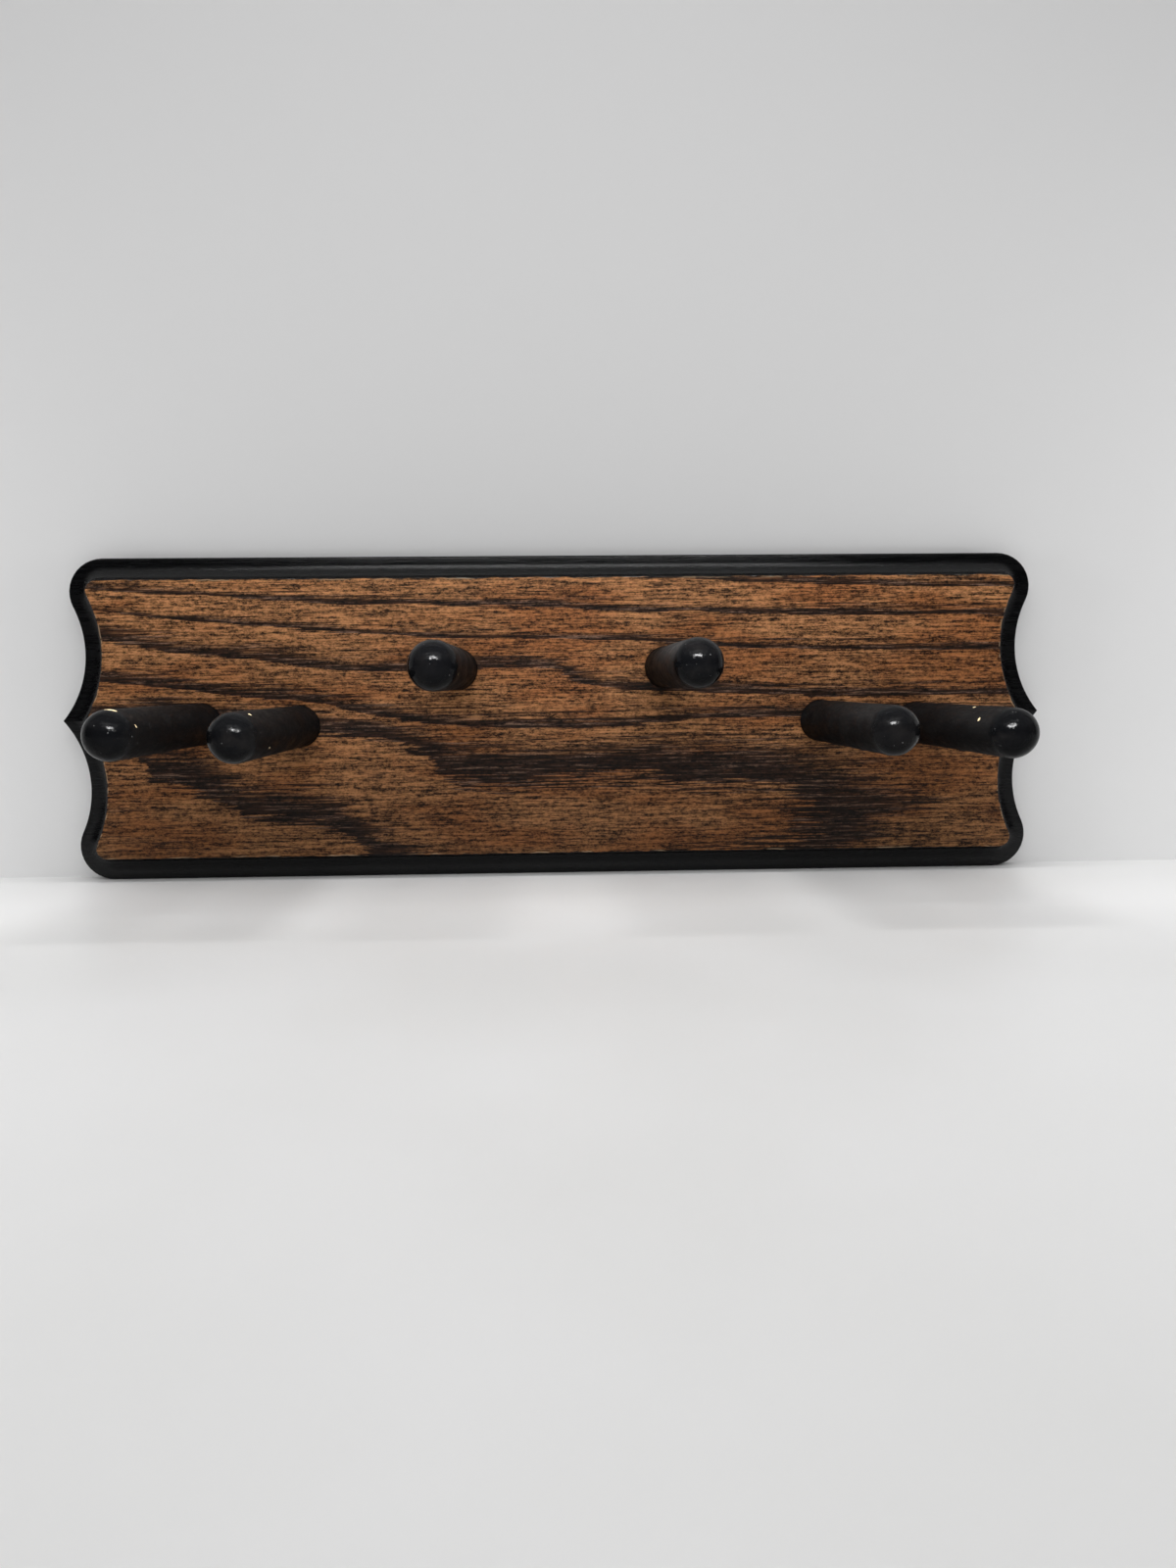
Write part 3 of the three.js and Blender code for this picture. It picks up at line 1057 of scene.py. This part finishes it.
FIRST_PEG_SEED = 31
PEG_NAMES = tuple(f"peg_{side.name.lower()}_{row}" for side in Side for row in ("outer", "inner", "upper"))
PEG_CHIPS: dict[str, tuple[tuple[float, float, float, float], ...]] = {
    "peg_left_outer": ((82, 0.0085, 0.0042, 0.0016), (20, 0.012, 0.0012, 0.0012)),
    "peg_left_inner": ((62, 0.016, 0.0012, 0.0022), (-30, 0.030, 0.0010, 0.0016)),
    "peg_left_upper": ((-20, 0.011, 0.0010, 0.0010),),
    "peg_right_outer": ((150, 0.022, 0.0014, 0.0018), (110, 0.041, 0.0010, 0.0020)),
}


@dataclass
class Peg:
    """One dowel peg: a surface of revolution whose radius wavers slightly, as hand-sanded, painted wood does.

    waver is the greatest loss of radius, and hill the length of its rises and falls. Each chip in the paint
    is an angle in degrees, from +X up towards +Z, a depth behind the tip, and the chip's half-widths round
    the peg and along it.
    """

    name: str
    seed: int
    chips: tuple[tuple[float, float, float, float], ...] = ()
    facets: int = 96
    shaft_steps: int = 110
    dome_steps: int = 26
    end_chamfer: float = 0.0012
    waver: float = 0.00012
    hill: float = 0.014

    def __post_init__(self) -> None:
        """Reads the peg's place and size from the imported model."""
        low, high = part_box(self.name)
        self.radius = (high.x - low.x) / 2
        self.centre = np.array([(low.x + high.x) / 2, 0, (low.z + high.z) / 2])
        self.tip, self.end = low.y, high.y

    def profile(self) -> np.ndarray:
        """The peg's section from its tip to its end: a quarter circle, a straight shaft and a chamfer.

        Returns:
            Radius and depth of each point.
        """
        dome = arc((0.0, self.tip + self.radius), self.radius, -math.pi / 2, 0, self.dome_steps)
        shaft = np.linspace(self.tip + self.radius, self.end - self.end_chamfer, self.shaft_steps + 1)[1:]
        straight = np.stack([np.full(len(shaft), self.radius), shaft], axis=1)
        return np.concatenate([dome[1:], straight, [(self.radius - self.end_chamfer, self.end)]])

    def build(self) -> bpy.types.Object:
        """Makes the peg: each point is the axis plus the radius times (cos a, sin a), less the waver.

        Returns:
            The peg.
        """
        profile = self.profile()
        angle = np.linspace(0, 2 * math.pi, self.facets, endpoint=False)
        radius, depth = profile[:, 0:1], profile[:, 1:2]
        hills = drift(3 * np.cos(angle) + 9, depth / self.hill + 2 * np.sin(angle), self.seed)
        radius = radius * (1 - self.waver / self.radius * (0.5 + 0.5 * hills))
        rings = np.stack([
            self.centre[0] + radius * np.cos(angle),
            np.broadcast_to(depth, (len(profile), self.facets)),
            self.centre[2] + radius * np.sin(angle),
        ], axis=-1)
        shell = Shell()
        numbers = shell.add(rings)
        shell.bands(numbers, flip=True)
        shell.cap(numbers[0], self.centre + (0, self.tip, 0))
        shell.cap(numbers[-1], self.centre + (0, self.end, 0), flip=True)
        piece = shell.finished(f"{self.name}_dowel")
        write_values(piece.data, "chip", self.chipped(places(piece.data)))
        return piece

    def chipped(self, place: np.ndarray) -> np.ndarray:
        """How far inside a chip each point lies: one in its middle, falling evenly to nought at its edge.

        Args:
            place: The peg's points.

        Returns:
            The shares.
        """
        turn = np.degrees(np.arctan2(place[:, 2] - self.centre[2], place[:, 0] - self.centre[0]))
        share = np.zeros(len(place))
        for angle, depth, round_peg, along in self.chips:
            arc_length = np.radians((turn - angle + 180) % 360 - 180) * self.radius
            away = np.hypot(arc_length / round_peg, (place[:, 1] - self.tip - depth) / along)
            share = np.maximum(share, 1 - away)
        return share

    def dress(self, piece: bpy.types.Object, paint: bpy.types.Material) -> None:
        """Gives the peg its finish and body.

        Args:
            piece: The peg.
            paint: Its finish.
        """
        piece.data.materials.append(paint)
        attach(piece, BODY)
        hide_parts(self.name)


# ---------------------------------------------------------------- the hangers


@dataclass
class HangerScrew:
    """A countersunk wood screw: a coned head with a cross recess, and a thread that tapers at the point.

    recess_slope is the width of the recess's sloping sides. rim is how far the head's rounded corner comes
    down, blunt how far the last ring stays from the point, and ridge half the thread's width in pitches.
    """

    name: str
    head_height: float = 0.0019
    core_radius: float = 0.00125
    crest_radius: float = 0.00175
    point_length: float = 0.003
    pitch: float = 0.0013
    recess_length: float = 0.0036
    recess_width: float = 0.0008
    recess_depth: float = 0.0011
    recess_slope: float = 0.0003
    rim: Span = (0.0001, 0.00025)
    blunt: float = 0.00008
    ridge: float = 0.28
    neck_length: float = 0.001
    facets: int = 64
    head_rings: int = 22
    thread_rings: int = 120

    def __post_init__(self) -> None:
        """Reads the screw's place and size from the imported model."""
        low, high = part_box(self.name)
        self.radius = (high.x - low.x) / 2
        self.centre = np.array([(low.x + high.x) / 2, 0, (low.z + high.z) / 2])
        self.point, self.head = low.y, high.y

    def recess(self, x: np.ndarray, z: np.ndarray) -> np.ndarray:
        """How deep the cross is sunk: full depth within either bar, easing out over the sloping sides.

        Args:
            x: Distance right of the screw's axis.
            z: Distance above it.

        Returns:
            The depths.
        """
        slope = self.recess_slope
        reach = self.recess_length / 2
        half = self.recess_width / 2
        bars = [
            np.clip((half + slope - np.abs(b)) / slope, 0, 1)
            * np.clip((reach - np.abs(a)) / (2 * slope), 0, 1)
            for a, b in ((x, z), (z, x))
        ]
        return self.recess_depth * np.maximum(*bars)

    def build(self) -> bpy.types.Object:
        """Makes the screw from the middle of its head, over the rim and down the thread to its point.

        The thread's radius is the core's plus a rounded ridge that climbs one pitch in each turn.

        Returns:
            The screw.
        """
        angle = np.linspace(0, 2 * math.pi, self.facets, endpoint=False)
        flat = np.linspace(0, 1, self.head_rings + 1)[1:, None] * (self.radius - self.rim[0])
        x, z = flat * np.cos(angle), flat * np.sin(angle)
        top = np.stack([x, self.head - self.recess(x, z), z], axis=-1)
        neck_y = self.head - self.head_height
        depth = np.linspace(neck_y, self.point + self.blunt, self.thread_rings + 1)[:, None]
        turn = (depth / self.pitch + angle / (2 * math.pi)) % 1
        ridge = np.clip(1 - np.abs(turn - 0.5) / self.ridge, 0, 1) * (self.crest_radius - self.core_radius)
        taper = np.clip((depth - self.point) / self.point_length, 0.02, 1)
        fade = np.clip((neck_y - depth) / self.neck_length, 0, 1)
        neck = self.core_radius + (self.crest_radius - self.core_radius) * (1 - fade)
        radius = taper * (neck + ridge * fade)
        thread = np.stack([radius * np.cos(angle), np.broadcast_to(depth, radius.shape),
                           radius * np.sin(angle)], axis=-1)
        edge = self.radius * np.stack([np.cos(angle), np.zeros(self.facets), np.sin(angle)], axis=-1)
        rims = np.stack([edge + (0, self.head - drop, 0) for drop in self.rim])
        shell = Shell()
        numbers = shell.add(np.concatenate([top, rims, thread]) + self.centre)
        shell.bands(numbers)
        shell.cap(numbers[0], self.centre + (0, self.head - self.recess_depth, 0), flip=True)
        shell.cap(numbers[-1], self.centre + (0, self.point, 0))
        return shell.finished(f"{self.name}_threaded", sharp=40)

    def dress(self, piece: bpy.types.Object, steel: bpy.types.Material) -> None:
        """Gives the screw its finish and body.

        Args:
            piece: The screw.
            steel: Its finish.
        """
        piece.data.materials.append(steel)
        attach(piece, BODY)
        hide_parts(self.name)


@dataclass
class Hanger:
    """One keyhole hanger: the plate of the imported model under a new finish, and two new screws."""

    side: Side

    def build(self, steel: bpy.types.Material) -> list[bpy.types.Object]:
        """Makes and dresses the hanger's pieces.

        Args:
            steel: Their finish.

        Returns:
            The plate and its screws.
        """
        end = self.side.name.lower()
        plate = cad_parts[f"hanger_plate_{end}"]
        plate.data.materials.clear()
        plate.data.materials.append(steel)
        pieces = [plate]
        for level in ("lower", "upper"):
            screw = HangerScrew(f"hanger_screw_{end}_{level}")
            made = screw.build()
            screw.dress(made, steel)
            pieces.append(made)
        return pieces


# ---------------------------------------------------------------- the studio


class Receivers(Enum):
    """What a lamp lights."""

    ALL = "everything"
    RACK = "the rack"
    PEGS = "the pegs"
    STAGE = "the floor and the wall"
    FLOOR = "the floor"
    WALL = "the wall"


@dataclass(frozen=True)
class Lamp:
    """A soft rectangular lamp.

    It stands at one point and shines towards another. size is its length along X and its width.
    """

    name: str
    at: Place
    towards: Place
    size: Span
    watts: float
    lights: Receivers = Receivers.ALL

    def build(self) -> bpy.types.Object:
        """Makes the lamp.

        Returns:
            The lamp's object.
        """
        lamp = bpy.data.lights.new(self.name, "AREA")
        lamp.shape = "RECTANGLE"
        lamp.size, lamp.size_y = self.size
        lamp.energy = self.watts
        holder = bpy.data.objects.new(self.name, lamp)
        holder.location = self.at
        aim = Vector(self.towards) - Vector(self.at)
        holder.rotation_euler = aim.to_track_quat("-Z", "Y").to_euler()
        bpy.context.scene.collection.objects.link(holder)
        return holder


FLOOR_Z = -0.0743
LAMPS = (
    Lamp("front_strip", (0.0, -0.34, 0.31), (0.0, -0.05, 0.0), (0.5, 0.006), 0.34),
    Lamp("top_strip", (0.0, -0.05, 0.75), (0.0, -0.01, 0.0), (0.5, 0.05), 2.15, Receivers.STAGE),
    Lamp("rack_strip", (0.0, -0.44, 0.26), (0.0, -0.05, 0.0), (0.42, 0.010), 0.62, Receivers.RACK),
    Lamp("tip_glint", (0.0, -0.46, 0.25), (0.0, -0.14, 0.0), (0.20, 0.03), 6.0, Receivers.PEGS),
    Lamp("floor_fill", (0.0, -0.11, 0.03), (0.0, -0.01, FLOOR_Z), (0.56, 0.04), 0.15, Receivers.FLOOR),
    *(Lamp(f"wall_fill_{side.name.lower()}", (0.62 * side.value, -0.30, 0.0), (0.36 * side.value, 0.0, -0.01),
           (0.10, 0.30), 1.1, Receivers.WALL) for side in Side),
    Lamp("back_lamp", (-0.5, 0.9, 0.7), (0.0, 0.0, 0.0), (0.9, 0.9), 16.0, Receivers.RACK),
)


@dataclass
class Studio:
    """A pale floor and wall, soft lamps in front, overhead, at the sides and behind, and the camera.

    The floor runs from front to behind, past the wall. The camera sees the world as backdrop. As light, the
    world is horizon below the first number of sky and ceiling above the second, which are the upward parts of
    a direction of length one.
    """

    floor_z: float = FLOOR_Z
    wall_y: float = 0.0006
    half_width: float = 1.6
    front: float = -1.6
    behind: float = 0.6
    height: float = 1.6
    lens: float = 27.83
    sensor: float = 36.0
    clip: Span = (0.01, 20)
    camera_at: Place = (-0.00659, -0.57954, 0.01569)
    pitch: float = -4.817
    yaw: float = -2.077
    roll: float = 0.575
    board: tuple[Colour, Colour] = ((0.78, 0.78, 0.775), (0.80, 0.80, 0.80))
    plaster: Colour = (0.78, 0.78, 0.78)
    backdrop: Colour = (0.62, 0.62, 0.62)
    horizon: Colour = (0.04, 0.04, 0.044)
    ceiling: Colour = (0.76, 0.76, 0.76)
    sky: Span = (0.3, 0.62)
    sheets: list[bpy.types.Object] = field(default_factory=list)

    def sheet(self, name: str, corners: tuple[Place, ...]) -> bpy.types.Object:
        """A flat four-sided sheet of the stage.

        Args:
            name: The sheet's name.
            corners: Its four corners in turn.

        Returns:
            The sheet.
        """
        mesh = bpy.data.meshes.new(name)
        mesh.from_pydata(corners, [], [(0, 1, 2, 3)])
        sheet = bpy.data.objects.new(name, mesh)
        bpy.context.scene.collection.objects.link(sheet)
        self.sheets.append(sheet)
        return sheet

    def build_floor(self) -> None:
        """Makes the floor that the rack's lower edge stands on: white board with a slight sheen."""
        w, z, behind = self.half_width, self.floor_z, self.behind
        front = self.front
        floor = self.sheet("floor", ((-w, front, z), (w, front, z), (w, behind, z), (-w, behind, z)))
        graph = finish("white_floor")
        patches = graph.noise((9, 9, 9), detail=3)
        graph.set(
            Base_Color=graph.mix(graph.span(patches, 0.3, 0.7), *self.board),
            Roughness=graph.span(patches, 0.3, 0.7, (0.42, 0.5)),
        )
        floor.data.materials.append(graph.owner)

    def build_wall(self) -> None:
        """Makes the wall behind the rack, which can't be seen from behind and casts no shadow there."""
        w, z, y = self.half_width, self.floor_z, self.wall_y
        wall = self.sheet("wall", ((-w, y, z), (w, y, z), (w, y, self.height), (-w, y, self.height)))
        graph = finish("white_wall")
        graph.set(Base_Color=(*self.plaster, 1.0), Roughness=0.7)
        clear = graph.tree.nodes.new("ShaderNodeBsdfTransparent")
        facing = graph.tree.nodes.new("ShaderNodeNewGeometry")
        choice = graph.tree.nodes.new("ShaderNodeMixShader")
        graph.put(choice, 0, facing.outputs["Backfacing"])
        graph.put(choice, 1, graph.shader.outputs["BSDF"])
        graph.put(choice, 2, clear.outputs["BSDF"])
        graph.put(graph.tree.nodes["Material Output"], "Surface", choice.outputs["Shader"])
        wall.data.materials.append(graph.owner)
        wall.visible_shadow = False

    def build_lights(self, pieces: list[bpy.types.Object]) -> None:
        """Makes the lamps, and limits each to the objects that it lights.

        Args:
            pieces: The rack's pieces.
        """
        floor, wall = self.sheets
        receivers = {
            Receivers.RACK: pieces,
            Receivers.PEGS: [piece for piece in pieces if piece.name.startswith("peg_")],
            Receivers.STAGE: self.sheets,
            Receivers.FLOOR: [floor],
            Receivers.WALL: [wall],
        }
        for lamp in LAMPS:
            holder = lamp.build()
            if lamp.lights is Receivers.ALL:
                continue
            lit = bpy.data.collections.new(f"lit_by_{lamp.name}")
            for receiver in receivers[lamp.lights]:
                lit.objects.link(receiver)
            holder.light_linking.receiver_collection = lit

    def build_world(self) -> None:
        """Makes the surroundings: pale overhead, dark from eye level down, and an even grey to the camera."""
        world = bpy.data.worlds.new("light_box")
        bpy.context.scene.world = world
        graph = Graph(world, "Background")
        coordinate = graph.tree.nodes.new("ShaderNodeTexCoord")
        split = graph.tree.nodes.new("ShaderNodeSeparateXYZ")
        graph.put(split, 0, coordinate.outputs["Generated"])
        upward = graph.span(split.outputs["Z"], *self.sky)
        surroundings = graph.mix(upward, self.horizon, self.ceiling)
        path = graph.tree.nodes.new("ShaderNodeLightPath")
        seen = graph.mix(path.outputs["Is Camera Ray"], surroundings, self.backdrop)
        graph.set(Color=seen, Strength=1.0)

    def build_camera(self) -> None:
        """Makes the camera, a little above the rack's middle and turned slightly down and to the right."""
        data = bpy.data.cameras.new("camera")
        data.sensor_fit = "AUTO"
        data.sensor_width, data.lens = self.sensor, self.lens
        data.clip_start, data.clip_end = self.clip
        holder = bpy.data.objects.new("camera", data)
        turns = ((self.yaw, "Z"), (self.pitch, "X"), (self.roll, "Y"))
        yaw, pitch, roll = [Matrix.Rotation(math.radians(angle), 3, axis) for angle, axis in turns]
        upright = Euler((math.pi / 2, 0, 0)).to_matrix()
        turn = yaw @ pitch @ roll @ upright
        holder.matrix_world = Matrix.Translation(self.camera_at) @ turn.to_4x4()
        bpy.context.scene.collection.objects.link(holder)
        bpy.context.scene.camera = holder

    def set_tones(self) -> None:
        """Plain tones, with no film curve."""
        bpy.context.scene.view_settings.view_transform = "Standard"


def report(piece: bpy.types.Object) -> bpy.types.Object:
    """Logs a piece's name and how many faces it has, and hands it on."""
    LOG.info("%s: %d faces", piece.name, len(piece.data.polygons))
    return piece


def main() -> None:
    logging.basicConfig(level=logging.INFO, format="%(name)s: %(message)s")
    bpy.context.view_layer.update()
    pieces = []
    plank = Plank()
    board = report(plank.build())
    plank.dress(board)
    pieces.append(board)
    gloss = PegPaint().material()
    for seed, name in enumerate(PEG_NAMES, start=FIRST_PEG_SEED):
        peg = Peg(name, seed, PEG_CHIPS.get(name, ()))
        dowel = report(peg.build())
        peg.dress(dowel, gloss)
        pieces.append(dowel)
    steel = ZincSteel().material()
    for side in Side:
        pieces += [report(piece) for piece in Hanger(side).build(steel)]
    studio = Studio()
    studio.build_floor()
    studio.build_wall()
    studio.build_lights(pieces)
    studio.build_world()
    studio.build_camera()
    studio.set_tones()


if __name__ == "__main__":
    main()
